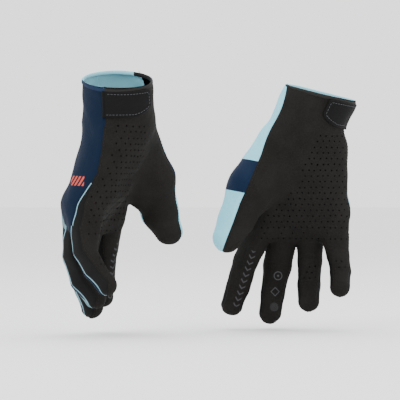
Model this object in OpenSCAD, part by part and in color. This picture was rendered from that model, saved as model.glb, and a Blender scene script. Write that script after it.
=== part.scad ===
// A pair of full-finger sailing gloves with a wrist strap on each.
// One right glove is described about its wrist: +X to the little finger, +Y out of the
// back of the hand, +Z up to the cuff. The left glove is its mirror image, turned.

/* [Cuff] */
// Height of the rim above the wrist
cuff_height = 41; // [38:1:44]
// Half the width of the cuff at the rim
cuff_half_width = 37; // [35:1:39]
// Half the depth of the cuff at the rim
cuff_half_depth = 33; // [31:1:35]
// Fall of the rim towards the little finger side, per millimetre
rim_slope = 0.24; // [0.1:0.02:0.3]
// Height of the folded hem
hem_height = 2.4; // [2:0.2:3]

/* [Shell] */
// Thickness of the fabric panels
wall = 1.1; // [0.8:0.1:1.3]
// Gap left between the edges of two panels that are sewn together
seam_gap = 0.2; // [0.1:0.05:0.3]
// Half the angle round a finger that its front panel covers
front_half_angle = 80; // [70:1:84]
// Half the angle round a finger that its back panel covers
back_half_angle = 38; // [32:1:50]

/* [Movement] */
// Largest bend of a finger
finger_bend = 65; // [40:1:70]
// Largest straightening of a finger from rest
finger_straighten = 15; // [5:1:20]
// Half the narrowest width of the creasing part of a finger
crease_half = 1.5; // [1.2:0.1:2]

/* [Strap] */
// Thickness of the strap tab
strap_thick = 1.8; // [1.5:0.1:2.2]
// Thickness of each hook and loop patch
patch_thick = 0.8; // [0.6:0.1:1]
// Angle around the wrist at which the strap ends
strap_sweep = 78; // [76:1:80]

/* [Pair] */
// Spacing of the two cuffs across the pair
pair_spacing = 201; // [195:1:230]
// How far the right glove lies behind the left one
pair_depth = 125; // [100:5:150]
// How far the right cuff lies below the left one
pair_drop = 7; // [0:1:10]
// Turn of the left glove about the vertical
left_turn = 72; // [60:1:80]

/* [Hidden] */
SIDES = ["left", "right"];
FINGERS = ["index", "middle", "ring", "little"];
HAND_PARTS = ["palm_panel", "back_panel", "thumb_panel", "side_gusset", "finger_gussets",
              "cuff_hem", "loop_patch", "strap_tab", "hook_patch",
              "thumb_front", "thumb_back", "thumb_crease"];
FINGER_PARTS = ["front", "back", "gusset", "crease"];

suede = "#2a2926";
stretch = "#1c1c1d";
pale_blue = "#9fcfdc";
navy = "#0b2b45";
neoprene = "#232323";

// Each joint is [x, y, z, radius of the glove there]
cuff_centre = [17.6, -3.7, cuff_height];
wrist_half = [35, 33.5];
palm_heel = [[-8, -4, -6, 24], [-3, 4, -6, 26], [5, 4, -6, 26], [19, -2, -15, 24.5]];
knuckle = [[-39.5, 20.5, -85, 15.3], [-17.5, 31.5, -84.5, 16],
           [6, 34, -79.5, 17], [26.5, 21, -78, 19]];
mid_joint = [[-58.5, 31.5, -127, 12.3], [-26, 43, -132.5, 14],
             [6.5, 37, -128, 12], [34, 17, -121.5, 11]];
end_joint = [[-66.5, 36, -154.5, 12], [-31, 38.5, -162, 11.7],
             [5.5, 29, -152, 11.4], [36, 6, -138.5, 10.2]];
tip = [[-72.5, 37.5, -172.5, 10.8], [-34, 33.5, -180, 11.1],
       [4.5, 16.5, -168, 10.4], [35, -6, -152.5, 10]];
web_radius = [13.4, 14, 13.3, 12.4];
web_z = -105;
thumb_root = [-27, -4.5, -14.5, 24.3];
thumb_knuckle = [-54, -15.5, -53, 23];
thumb_joint = [-69.5, -21, -86, 17.9];
thumb_tip = [-79, -27.5, -104, 13.9];
thumb_web_z = -58;
thumb_web_radius = 21.4;
thumb_bend = 50;
side_across = [1, 0, 0];
thumb_across = [0.33, 0.95, 0];

// Heights at which the hand is outlined, above and below the thumb's fork
fork_gap = 0.5;
upper_heights = [cuff_height - hem_height, 20, 7, -6, -20, -34, -48, thumb_web_z];
lower_heights = [thumb_web_z - fork_gap, -70, -82, -94, web_z + fork_gap];
panel_step = 11;

function lerp(a, b, t) = a + (b - a) * t;
function unit(v) = v / norm(v);
function xyz(p) = [p[0], p[1], p[2]];
function across_of(axis, d) = unit(axis - (axis * d) * d);

// ---- outline of the hand at one height, seen from its core ----
function at_height(a, b, z) = lerp(a, b, (z - a[2]) / (b[2] - a[2]));
function palm_ray(f, z) = z > knuckle[f][2]
    ? at_height(palm_heel[f], knuckle[f], z) : at_height(knuckle[f], mid_joint[f], z);
function thumb_ray(z) = z > thumb_knuckle[2]
    ? at_height(thumb_root, thumb_knuckle, z) : at_height(thumb_knuckle, thumb_joint, z);
function rays(z, with_thumb) = concat([for (f = [0:3]) palm_ray(f, z)],
    [for (f = [0:2]) between_rays(palm_ray(f, z), palm_ray(f + 1, z))], with_thumb ? [thumb_ray(z)] : []);
// The flesh between two fingers is a little thinner than they are
function between_rays(a, b) = let (m = (a + b) / 2) [m[0], m[1], m[2], m[3] * 0.9];
function core(z) = z > 0
    ? [cuff_centre[0], cuff_centre[1]] * z / cuff_height
    : [-7, 30] * min(1, z / (web_z + 20));
function reach(from, way, c) =
    let (w = [c[0], c[1]] - from, along = w * way, d = c[3] * c[3] - (w * w - along * along))
    d < 0 ? 0 : along + sqrt(d);
function oval(z, a) =
    let (k = max(0, z) / cuff_height,
         h = lerp(wrist_half, [cuff_half_width, cuff_half_depth], k))
    h[0] * h[1] / norm([h[1] * cos(a), h[0] * sin(a)]);
function hand_reach(z, a, with_thumb) =
    let (k = min(1, max(0, -z / 20)))
    k == 0 ? oval(z, a)
           : lerp(oval(z, a), max([for (c = rays(z, with_thumb)) reach(core(z), [cos(a), sin(a)], c)]), k);
function tilt(z, a, r) = max(0, z) / cuff_height * r * (-rim_slope * cos(a) + 0.09 * sin(a));
function hand_point(z, a, off, with_thumb) =
    let (r = hand_reach(z, a, with_thumb) + off, c = core(z))
    [c[0] + r * cos(a), c[1] + r * sin(a), z + tilt(z, a, r)];

// ---- seam lines, as angles round the hand at each height ----
function radial_seam(z) = lookup(z, [[-58, 224], [-31, 220], [-10, 205], [10, 180], [41, 195]]);
function palm_seam(z) = lookup(z, [[-105, -9], [-82, -14], [-55, -9], [-25, -6], [0, 1], [41, 6]]);
function gusset_width(z) = lookup(z, [[-105, 24], [-82, 10], [-56, 1.5], [-48, 0]]);
back_seam = 125;
fork_seam = 236;
index_seam = 205;

// ---- a thin closed solid between two matching grids of points ----
module sheet(outer, inner) {
    n = len(outer);
    m = len(outer[0]);
    k = n * m;
    function at(s, i, j) = s * k + i * m + j;
    function quad(a, b, c, d) = [[a, b, c], [a, c, d]];
    polyhedron(
        points = concat([for (r = outer) each r], [for (r = inner) each r]),
        faces = [
            for (i = [0:n - 2], j = [0:m - 2]) each concat(
                quad(at(0, i, j), at(0, i, j + 1), at(0, i + 1, j + 1), at(0, i + 1, j)),
                quad(at(1, i, j), at(1, i + 1, j), at(1, i + 1, j + 1), at(1, i, j + 1))),
            for (j = [0:m - 2]) each concat(
                quad(at(0, 0, j), at(1, 0, j), at(1, 0, j + 1), at(0, 0, j + 1)),
                quad(at(0, n - 1, j), at(0, n - 1, j + 1), at(1, n - 1, j + 1), at(1, n - 1, j))),
            for (i = [0:n - 2]) each concat(
                quad(at(0, i, 0), at(0, i + 1, 0), at(1, i + 1, 0), at(1, i, 0)),
                quad(at(0, i, m - 1), at(1, i, m - 1), at(1, i + 1, m - 1), at(0, i + 1, m - 1)))
        ]);
}

// Angles from one seam to the next, drawn in by the seam gap on a limb of radius r
function spread(a0, a1, r, step) =
    let (g = seam_gap / 2 / r * 180 / PI, n = max(1, round((a1 - a0) / step)))
    [for (i = [0:n]) lerp(a0 + g, a1 - g, i / n)];

// A panel of the hand: its heights, and the seams on its two sides as angles per height
module hand_panel(heights, seams, with_thumb, off = 0, thick = wall) {
    count = max(1, round((seams[0][1] - seams[0][0]) / panel_step));
    g = seam_gap / 2 / 35 * 180 / PI;
    function grid(o) = [for (i = [0:len(heights) - 1]) [for (j = [0:count])
        hand_point(heights[i], lerp(seams[i][0] + g, seams[i][1] - g, j / count), o, with_thumb)]];
    sheet(grid(off), grid(off - thick));
}

// ---- fingers: rings of points about a jointed line ----
// A finger is [start, joint, knee, tip, start radius, reference across, bend, straighten]
function finger(f) =
    let (w = at_height(knuckle[f], mid_joint[f], web_z - fork_gap / 2))
    [w, mid_joint[f], end_joint[f], tip[f], web_radius[f], side_across, finger_bend, finger_straighten];
thumb =
    [at_height(thumb_knuckle, thumb_joint, thumb_web_z - fork_gap), thumb_joint,
     lerp(thumb_joint, thumb_tip, 0.5), thumb_tip, thumb_web_radius, thumb_across, thumb_bend, 10];

function way(a, b) = unit(xyz(b) - xyz(a));
function spoke(axis, d, r, a) =
    let (e = across_of(axis, d)) r * (cos(a) * e + sin(a) * cross(e, d));

// Where a finger's wall meets a plane through c with normal n
function cut_flat(c, d, n, q) = xyz(c) + q - d * (q * n) / (d * n);

// Where it meets the V-shaped end beside its joint: side is -1 for the hand's end, 1 for the tip's
function cut_vee(fg, side, gap, a, off) =
    let (c = xyz(fg[1]), d1 = way(fg[0], fg[1]), d2 = way(fg[1], fg[2]),
         d = side < 0 ? d1 : d2, n = unit(d1 + d2),
         q = spoke(fg[5], d, fg[1][3] + off, a),
         up = cross(across_of(fg[5], n), n),
         slope = sin(a) < 0 ? tan(fg[6] / 2 + 4) : -tan(fg[7] / 2 + 3),
         t = (side * gap - side * slope * (q * up) - q * n) / (d * n + side * slope * (d * up)))
    c + q + d * t;

function ring_start(fg, a, off) =
    let (d = way(fg[0], fg[1])) cut_flat(fg[0], d, [0, 0, 1], spoke(fg[5], d, fg[4] + off, a));
function ring_knee(fg, a, off) =
    let (d1 = way(fg[1], fg[2]), d2 = way(fg[2], fg[3]))
    cut_flat(fg[2], d1, unit(d1 + d2), spoke(fg[5], d1, fg[2][3] + off, a));
function ring_cap(fg, a, off, rise) =
    let (d = way(fg[2], fg[3]), r = fg[3][3] + off)
    xyz(fg[3]) + spoke(fg[5], d, r * cos(rise), a) + d * r * sin(rise);
cap_rises = [0, 35, 62, 86];

module limb_base(fg, angles) {
    function grid(o) = [[for (a = angles) ring_start(fg, a, o)],
                        [for (a = angles) cut_vee(fg, -1, crease_half, a, o)]];
    sheet(grid(0), grid(-wall));
}
module limb_end(fg, angles) {
    function grid(o) = concat(
        [[for (a = angles) cut_vee(fg, 1, crease_half, a, o)], [for (a = angles) ring_knee(fg, a, o)]],
        [for (rise = cap_rises) [for (a = angles) ring_cap(fg, a, o, rise)]]);
    sheet(grid(0), grid(-wall));
}
// The knit that folds when the finger bends: a whole ring with V-shaped ends
module crease(fg) {
    clear = 0.3;
    angles = [for (a = [0:20:360]) a];
    function grid(o) = [[for (a = angles) cut_vee(fg, -1, crease_half - clear, a, o)],
                        [for (a = angles) cut_vee(fg, 1, crease_half - clear, a, o)]];
    ring_of(grid(0), grid(-wall));
}
// A closed ring between two grids whose first and last columns meet
module ring_of(outer, inner) {
    n = len(outer);
    m = len(outer[0]) - 1;
    k = n * m;
    function at(s, i, j) = s * k + i * m + (j % m);
    function quad(a, b, c, d) = [[a, b, c], [a, c, d]];
    polyhedron(
        points = [for (g = [outer, inner], r = g, j = [0:m - 1]) r[j]],
        faces = [
            for (i = [0:n - 2], j = [0:m - 1]) each concat(
                quad(at(0, i, j), at(0, i, j + 1), at(0, i + 1, j + 1), at(0, i + 1, j)),
                quad(at(1, i, j), at(1, i + 1, j), at(1, i + 1, j + 1), at(1, i, j + 1))),
            for (j = [0:m - 1]) each concat(
                quad(at(0, 0, j), at(1, 0, j), at(1, 0, j + 1), at(0, 0, j + 1)),
                quad(at(0, n - 1, j), at(0, n - 1, j + 1), at(1, n - 1, j + 1), at(1, n - 1, j)))
        ]);
}

limb_step = 27;
function front_angles(fg) = spread(-90 - front_half_angle, -90 + front_half_angle, fg[1][3], limb_step);
function back_angles(fg) = spread(90 - back_half_angle, 90 + back_half_angle, fg[1][3], limb_step);
function side_angles(fg) =
    [spread(front_half_angle - 90, 90 - back_half_angle, fg[1][3], limb_step),
     spread(90 + back_half_angle, 270 - front_half_angle, fg[1][3], limb_step)];
thumb_half_angle = 85;
function thumb_angles(middle) =
    let (h = middle < 0 ? thumb_half_angle : 180 - thumb_half_angle)
    spread(middle - h, middle + h, thumb_joint[3], limb_step);

// ---- the pieces ----
module palm_panel() color(suede) {
    hand_panel(upper_heights, [for (z = upper_heights) [fork_seam, 360 + palm_seam(z)]], true);
    hand_panel(lower_heights, [for (z = lower_heights) [index_seam, 360 + palm_seam(z)]], false);
    hand_panel(upper_heights, [for (z = upper_heights) [radial_seam(z), fork_seam]], true);
    for (f = [0:3]) limb_base(finger(f), front_angles(finger(f)));
    limb_base(thumb, thumb_angles(-90));
}

module back_panel() color(navy) {
    hand_panel(upper_heights, [for (z = upper_heights) [palm_seam(z) + gusset_width(z), back_seam]], true);
    hand_panel(lower_heights, [for (z = lower_heights) [palm_seam(z) + gusset_width(z), back_seam]], false);
    for (f = [0:3]) limb_base(finger(f), back_angles(finger(f)));
}

module thumb_panel() color(pale_blue) {
    hand_panel(upper_heights, [for (z = upper_heights) [back_seam, radial_seam(z)]], true);
    hand_panel(lower_heights, [for (z = lower_heights) [back_seam, index_seam]], false);
    limb_base(thumb, thumb_angles(90));
}

module side_gusset() color(stretch) {
    heights = [-55, -70, -82, -94, web_z + fork_gap];
    hand_panel(heights, [for (z = heights) [palm_seam(z), palm_seam(z) + gusset_width(z)]], false);
}

module finger_gussets() color(stretch) {
    for (f = [0:3], angles = side_angles(finger(f))) limb_base(finger(f), angles);
    for (f = [0:2]) web_bar(f);
}

// The fork of the strip between two fingers, just inside the hand
module web_bar(f) {
    a = at_height(knuckle[f], mid_joint[f], web_z);
    b = at_height(knuckle[f + 1], mid_joint[f + 1], web_z);
    middle = (xyz(a) * web_radius[f + 1] + xyz(b) * web_radius[f]) / (web_radius[f] + web_radius[f + 1]);
    turn = atan2(b[1] - a[1], b[0] - a[0]);
    translate([middle[0], middle[1], web_z + 1.2])
        rotate([0, 0, turn]) cube([2.4, web_radius[f] * 0.7, 1.2], center = true);
}

module cuff_hem() {
    angles = [for (a = [0:12:360]) a];
    function grid(o) = [for (z = [cuff_height + 0.4, cuff_height - hem_height + seam_gap])
        [for (a = angles) hand_point(z, a, o, true)]];
    color(pale_blue) ring_of(grid(0.3), grid(-wall - 0.4));
}

// Lower and upper edge of the strap at each angle round the wrist
function strap_low(a) = lookup(a, [[-strap_sweep, 25], [3 - strap_sweep, 19.5], [-57, 11], [-45, 8], [0, 6.5]]);
function strap_high(a) = lookup(a, [[-strap_sweep, 34], [3 - strap_sweep, 36.8], [-66, 37.6], [0, 37.6]]);
strap_root = 2;
patch_edge = 4;
function strap_lift(a) = lookup(a, [[-34, 2 * patch_thick + 0.6], [-22, 1.2], [strap_root, 0.6]]);
module wrist_patch(angles, rows, inset, low, high) {
    function grid(up) = [for (i = [0:rows]) [for (a = angles) hand_point(
        lerp(strap_low(a) + inset, strap_high(a) - inset, 1 - i / rows), a, up ? high(a) : low(a), true)]];
    sheet(grid(true), grid(false));
}

module strap_tab() color(neoprene) {
    angles = concat([-strap_sweep, 1 - strap_sweep, 3 - strap_sweep], [for (a = [-68:8:-12]) a], [-4, strap_root]);
    wrist_patch(angles, 3, 0, function(a) strap_lift(a), function(a) strap_lift(a) + strap_thick);
}
patch_from = -72;
patch_to = -36;
loop_lift = 0.45;
module hook_patch() color("#101010") {
    angles = [for (a = [patch_from + 2:9:patch_to]) a];
    wrist_patch(angles, 1, patch_edge, function(a) strap_lift(a) - patch_thick - 0.05,
                function(a) strap_lift(a) - 0.05);
}
module loop_patch() color("#151515") {
    angles = [for (a = [patch_from:10:patch_to]) a];
    wrist_patch(angles, 1, patch_edge - 1, function(a) loop_lift, function(a) loop_lift + patch_thick - 0.3);
}

module thumb_front() color(suede) limb_end(thumb, thumb_angles(-90));
module thumb_back() color(pale_blue) limb_end(thumb, thumb_angles(90));
module thumb_crease() color(stretch) crease(thumb);

module finger_part(f, part) {
    if (part == "front") color(suede) limb_end(finger(f), front_angles(finger(f)));
    if (part == "back") color(navy) limb_end(finger(f), back_angles(finger(f)));
    if (part == "gusset") color(stretch) for (angles = side_angles(finger(f))) limb_end(finger(f), angles);
    if (part == "crease") color(stretch) crease(finger(f));
}

// ---- placing each glove in the pair's frame, whose origin is the left cuff ----
module place(side) {
    if (side == "right") translate([pair_spacing, pair_depth, -pair_drop] - cuff_centre) children();
    else rotate([2, 2, 0]) rotate([0, 0, left_turn]) mirror([1, 0, 0]) translate(-cuff_centre) children();
}

for (side = SIDES) {
    place(side) palm_panel();
    place(side) back_panel();
    place(side) thumb_panel();
    place(side) side_gusset();
    place(side) finger_gussets();
    place(side) cuff_hem();
    place(side) loop_patch();
    place(side) strap_tab();
    place(side) hook_patch();
    place(side) thumb_front();
    place(side) thumb_back();
    place(side) thumb_crease();
    for (f = [0:3], part = FINGER_PARTS)
        place(side) finger_part(f, part);
}
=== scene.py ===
import math

import bpy
import numpy as np
import openvdb
from mathutils import Matrix, kdtree


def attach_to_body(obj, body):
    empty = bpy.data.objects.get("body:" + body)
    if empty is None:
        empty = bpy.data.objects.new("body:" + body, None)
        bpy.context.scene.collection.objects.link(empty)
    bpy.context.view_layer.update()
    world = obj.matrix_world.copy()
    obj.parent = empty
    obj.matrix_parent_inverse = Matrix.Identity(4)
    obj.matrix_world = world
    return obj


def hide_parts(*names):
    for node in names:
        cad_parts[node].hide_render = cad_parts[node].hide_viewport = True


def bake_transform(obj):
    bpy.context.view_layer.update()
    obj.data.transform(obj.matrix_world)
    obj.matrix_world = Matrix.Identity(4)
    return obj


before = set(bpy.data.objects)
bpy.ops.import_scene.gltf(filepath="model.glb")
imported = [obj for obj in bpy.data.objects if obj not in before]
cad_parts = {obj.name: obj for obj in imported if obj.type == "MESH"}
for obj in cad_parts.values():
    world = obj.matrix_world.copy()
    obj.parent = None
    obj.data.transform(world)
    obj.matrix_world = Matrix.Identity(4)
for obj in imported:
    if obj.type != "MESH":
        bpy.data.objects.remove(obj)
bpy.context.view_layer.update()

# A right glove is shaped about its wrist, in millimetres: +x to the little finger, +y out of the
# back of the hand, +z up to the cuff. The left glove is its mirror image.
MM = 0.001
FINGERS = ["index", "middle", "ring", "little"]
CUFF_HEIGHT = 41.3
RIM_LEVEL = 41.0
CUFF_CENTRE = (17.6, -3.7)
RIM_SLOPE = (-0.24, 0.09)
CLOTH = 0.9
MESH_STEP = 1.25
# The height at which the fingers' own pieces start
PIECE_LINE = -98

# The places of the two gloves in the pair, in metres and degrees
RIM_TO_ORIGIN = (-0.0176, 0.0037, -0.041)
RIGHT_RIM = (0.201, 0.125, -0.007)
LEFT_TURN = 72
LEFT_TILT = 2

# Joints of the hand inside the glove, each with the glove's radius there
PALM_HEEL = [(-8, -4, -6, 24), (-3, 4, -6, 26), (5, 4, -6, 26), (19, -2, -15, 24.5)]
KNUCKLE = [(-39.5, 20.5, -85, 15.3), (-17.5, 31.5, -84.5, 16), (6, 34, -79.5, 17), (26.5, 21, -78, 19)]
MIDDLE_JOINT = [(-58.5, 31.5, -127, 12.3), (-26, 43, -132.5, 14), (6.5, 37, -128, 12), (34, 17, -121.5, 11)]
END_JOINT = [(-66.5, 36, -154.5, 12), (-31, 38.5, -162, 11.7), (5.5, 29, -152, 11.4), (36, 6, -138.5, 10.2)]
FINGER_TIP = [(-72.5, 37.5, -172.5, 10.8), (-34, 33.5, -180, 11.1), (4.5, 16.5, -168, 10.4),
              (35, -6, -152.5, 10)]
THUMB = [(-27, -4.5, -14.5, 24.3), (-54, -15.5, -53, 23), (-69.5, -21, -86, 17.9), (-79, -27.5, -104, 13.9)]
THUMB_WEB = [(-30, -2, -40, 20), (-53, -6, -71, 11)]
# What fills the hollow of the palm, and the wrist above the thumb
PALM_FLESH = [((0, 0, -25, 22), (-6, 11, -60, 17)), ((14, 2, -25, 20), (13, 14, -60, 17)),
              ((-6, 11, -60, 17), (-9, 28, -88, 13.5)), ((13, 14, -60, 17), (10, 28.5, -88, 14)),
              ((-1, -4, 32, 24.5), (-20, -5, -8, 23))]
# Where the thumb's own pieces start, and which way the thumb points there
THUMB_CUT = np.array([-63.5, -18.5, -74])
THUMB_WAY = np.array([-0.42, -0.17, -0.89])

# Each piece of cloth is known by its limb times ten plus its panel. Fingers are limbs 1 to 4.
HAND, THUMB_END = 0, 5
FRONT, BACK, GUSSET, SIDE = range(4)

VENT_PITCH = 5.7
VENT_RADIUS = 0.88
# Half the length of cloth that turns as a finger bends
BEND_REACH = 10
STRAP_THICKNESS = 1.75
PIPING_RADIUS = 0.48


def lerp(a, b, t):
    return a + (b - a) * t


def unit(v):
    return v / np.linalg.norm(v)


def curve(z, *points):
    """A smooth line through about the given points, from the highest z down."""
    p = sorted(points)
    near = [np.interp(z + 2.6 * k, [q[0] for q in p], [q[1] for q in p]) for k in (-2, -1, 0, 1, 2)]
    return (near[0] + 2 * near[1] + 3 * near[2] + 2 * near[3] + near[4]) / 9


def at_height(a, b, z):
    """The point of a line at each height."""
    t = ((z - a[2]) / (b[2] - a[2]))[:, None]
    return lerp(np.array(a, float), np.array(b, float), t)


def rod(p, a, b):
    """Distance from a tapered round rod."""
    a, b = np.array(a, float), np.array(b, float)
    d = b[:3] - a[:3]
    t = np.clip((p - a[:3]) @ d / (d @ d), 0, 1)
    return np.linalg.norm(p - a[:3] - t[:, None] * d, axis=1) - lerp(a[3], b[3], t)


def melt(a, b, k):
    """The lesser of two distances, rounded off where they are nearly equal."""
    h = np.clip(0.5 + 0.5 * (b - a) / k, 0, 1)
    return lerp(b, a, h) - k * h * (1 - h)


def knuckle_to_web(f):
    """The point between a finger's knuckle and its middle joint that is level with the web."""
    k, m = np.array(KNUCKLE[f], float), np.array(MIDDLE_JOINT[f], float)
    return lerp(k, m, (PIECE_LINE + 4 - k[2]) / (m[2] - k[2]))


def finger_distance(p, f):
    web = knuckle_to_web(f)
    d = rod(p, web, MIDDLE_JOINT[f])
    d = melt(d, rod(p, MIDDLE_JOINT[f], END_JOINT[f]), 2.5)
    return melt(d, rod(p, END_JOINT[f], FINGER_TIP[f]), 2.5)


def between(a, b):
    """The flesh between two fingers, a little thinner than they are."""
    m = (np.array(a, float) + np.array(b, float)) / 2
    return m * [1, 1, 1, 0.95] - [0, 0, 0, 1.2]


def palm_distance(p):
    thin = np.array([0, 0, 0, 1.2])
    webs = [knuckle_to_web(f) for f in range(4)]
    d = None
    for f in range(4):
        for a, b in ((PALM_HEEL[f], KNUCKLE[f]), (KNUCKLE[f], webs[f])):
            e = rod(p, np.array(a) - thin, np.array(b) - thin)
            d = e if d is None else melt(d, e, 10)
    for f in range(3):
        a, b, c = (between(j[f], j[f + 1]) for j in (PALM_HEEL, KNUCKLE, webs))
        d = melt(melt(d, rod(p, a, b), 10), rod(p, b, c), 10)
    for a, b in PALM_FLESH:
        d = melt(d, rod(p, a, b), 12)
    return d


def thumb_distance(p):
    d = rod(p, THUMB[0], THUMB[1])
    d = melt(d, rod(p, THUMB[1], THUMB[2]), 6)
    return melt(d, rod(p, THUMB[2], THUMB[3]), 4)


def cuff_distance(p):
    """Distance from the oval cuff, which narrows to nothing inside the palm."""
    z = p[:, 2]
    k = np.clip(z / CUFF_HEIGHT, -0.3, 1.4)
    half = np.stack([lerp(35, 37, k), lerp(33.5, 33, k)], axis=1)
    q = p[:, :2] - np.array(CUFF_CENTRE) * np.clip(k, 0, 1.4)[:, None]
    d = (np.linalg.norm(q / half, axis=1) - 1) * half.min(axis=1)
    return d + np.maximum(0, -z) * 0.35 + np.maximum(0, -z - 42)


def glove_distance(p):
    """Signed distance from the outside of the glove, softly joined as the cloth is."""
    d = melt(palm_distance(p), rod(p, *THUMB_WEB), 8)
    d = melt(d, thumb_distance(p), 9)
    low = p[:, 2] < PIECE_LINE + 20
    for f in range(4):
        e = np.full(len(p), 1e3)
        e[low] = finger_distance(p[low], f)
        d = melt(d, e, 2.5)
    d = melt(d, cuff_distance(p), 9)
    return d + uneven(p)


def uneven(p):
    """The cloth is not drawn quite evenly over the hand."""
    x, y, z = p.T
    slow = np.sin(x * 0.11 + z * 0.07 + 1) * np.sin(z * 0.09 - y * 0.13 + 2)
    quick = np.sin(x * 0.23 - y * 0.19 + z * 0.05) * np.sin(z * 0.21 + x * 0.08 + 4)
    return 0.45 * slow + 0.22 * quick


def gradient(p, h=0.4):
    """The way straight out of the glove."""
    g = np.stack([glove_distance(p + h * e) - glove_distance(p - h * e) for e in np.eye(3)], axis=1)
    return g / np.maximum(np.linalg.norm(g, axis=1), 1e-9)[:, None]


def settle(p, rounds=3):
    """Moves points onto the glove's surface."""
    for _ in range(rounds):
        p = p - gradient(p) * glove_distance(p)[:, None]
    return p


# ---- seam lines ----
def angle_about(p, centre):
    """Angle round a centre, seen from the cuff: 0 at the little finger, 90 at the back."""
    return np.degrees(np.arctan2(p[:, 1] - centre[:, 1], p[:, 0] - centre[:, 0]))


def hand_core(z):
    up = np.array(CUFF_CENTRE) * (np.maximum(z, 0) / RIM_LEVEL)[:, None]
    down = np.array([-7, 26]) * np.clip(-z / 85, 0, 1)[:, None]
    return up + down


def ray(a, b, c, z):
    """The line through three joints, at each height."""
    return np.where((z > b[2])[:, None], at_height(a, b, z), at_height(b, c, z))


def finger_ray(f, z):
    return ray(PALM_HEEL[f], KNUCKLE[f], MIDDLE_JOINT[f], z)


def hand_panel(p):
    """The panel at each point of the hand and of the root of the thumb."""
    z = p[:, 2]
    a_core = angle_about(p, hand_core(z))
    full = a_core % 360
    a_little = angle_about(p, finger_ray(3, z))
    high = z > -50
    a_edge = np.where(high, a_core, a_little)
    palm_edge = np.where(high, curve(z, (41, 1), (7, 0), (0, -1), (-25, -9), (-46, -12)),
                         curve(z, (-54, -12), (-68, -16), (-83, -17), (-94, -6), (-102, 2)))
    back_edge = np.where(high, palm_edge,
                         curve(z, (-54, -12), (-68, -3), (-83, 4), (-94, 24), (-98, 34)))
    ulnar = np.where(a_edge < palm_edge, FRONT, np.where(a_edge < back_edge, GUSSET, BACK))
    # the thumb's side of the wrist and hand
    side_back = curve(z, (41, 125), (-15, 130), (-45, 165), (-62, 200))
    side_front = curve(z, (41, 186), (18, 187), (-12, 213), (-62, 203))
    radial = np.where(full < side_back, BACK, np.where(full < side_front, SIDE, FRONT))
    a_index = angle_about(p, finger_ray(0, z)) % 360
    low_back = curve(z, (-75, 165), (-98, 120))
    low_front = curve(z, (-75, 165), (-98, 183))
    low = np.where(a_index < low_back, BACK, np.where(a_index < low_front, GUSSET, FRONT))
    radial = np.where(z < -62, low, radial)
    # the thumb
    near_thumb = (z < -12) & (thumb_distance(p) < palm_distance(p)) & (p[:, 0] < -8)
    a_thumb = angle_about(p, ray(*THUMB[:3], z)) % 360
    radial = np.where(near_thumb, np.where((a_thumb > 50) & (a_thumb < 300), SIDE, FRONT), radial)
    # the seam that runs from the wrist down the palm side of the thumb
    seam_x = curve(z, (52, -18.4), (40, -20.4), (28, -23.6), (18, -28), (4, -36), (-5, -39.9), (-12, -42.2),
                   (-22, -45.3), (-30, -49), (-54, -59), (-66, -64.8), (-90, -73.5), (-104, -79), (-118, -84))
    middle = curve(z, (41, -3.7), (20, -4), (-14.5, -4.5), (-53, -15.5), (-86, -21), (-104, -27.5))
    palm_side = (p[:, 1] < middle) & (near_thumb | (z > -62))
    radial = np.where(palm_side, np.where(p[:, 0] < seam_x, SIDE, FRONT), radial)
    return np.where((a_core > -90) & (a_core <= 90) & ~near_thumb, ulnar, radial)


def finger_axis(f):
    joints = (MIDDLE_JOINT, END_JOINT, FINGER_TIP)
    return [knuckle_to_web(f)[:3]] + [np.array(j[f][:3], float) for j in joints]


def finger_frame(p, f):
    """How far each point is off a finger's line, and the line's direction there."""
    line = finger_axis(f)
    best = np.full(len(p), 1e9)
    q = np.zeros_like(p)
    way = np.zeros_like(p)
    for a, b in zip(line, line[1:]):
        d = b - a
        t = np.clip((p - a) @ d / (d @ d), 0, 1)
        off = p - a - t[:, None] * d
        r = np.linalg.norm(off, axis=1)
        nearer = r < best
        best = np.where(nearer, r, best)
        q[nearer] = off[nearer]
        way[nearer] = d / np.linalg.norm(d)
    return q, way


def finger_panel(p, f):
    """The panel at each point of a finger."""
    q, way = finger_frame(p, f)
    across = np.array([1.0, 0, 0]) - way * way[:, :1]
    across /= np.linalg.norm(across, axis=1)[:, None]
    up_way = np.cross(across, way)
    up_way *= np.sign(up_way[:, 1:2])
    side = (q * across).sum(axis=1)
    along = (q * way).sum(axis=1)
    up = (q * up_way).sum(axis=1) - 0.9 * np.maximum(0, along)
    a = np.degrees(np.arctan2(up, np.abs(side)))
    z, tip = p[:, 2], FINGER_TIP[f][2]
    t = (z - PIECE_LINE) / (tip - PIECE_LINE)
    front_edge = np.interp(t, [0, 0.3, 0.65, 0.9], [3, -4, -26, -34])
    back_edge = np.interp(t, [0, 0.22, 0.6, 1], [16, 58, 60, 32])
    if f == 0:
        back_edge = np.where(side < 0, np.interp(t, [0, 0.6, 1], [60, 60, 32]), back_edge)
    if f == 3:
        outer_edge = curve(z, (-98, 34), (-105, 55), (-112, 62), (-135, 60), (-152, 32))
        back_edge = np.where(side > 0, outer_edge, back_edge)
    return np.where(a < front_edge, FRONT, np.where(a < back_edge, GUSSET, BACK))


def piece_code(p):
    """Which piece of cloth each point is on."""
    code = hand_panel(p)
    nearest = np.argmin(np.stack([finger_distance(p, f) for f in range(4)]), axis=0)
    tip_end = ((p - THUMB_CUT) @ THUMB_WAY > 0) & (thumb_distance(p) < 3) & (p[:, 0] < -46) & (p[:, 1] < 4)
    for f in range(4):
        mine = (p[:, 2] < PIECE_LINE) & (nearest == f) & ~tip_end
        code = np.where(mine, (f + 1) * 10 + finger_panel(p, f), code)
    return np.where(tip_end, THUMB_END * 10 + np.where(code % 10 == FRONT, FRONT, SIDE), code)


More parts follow.
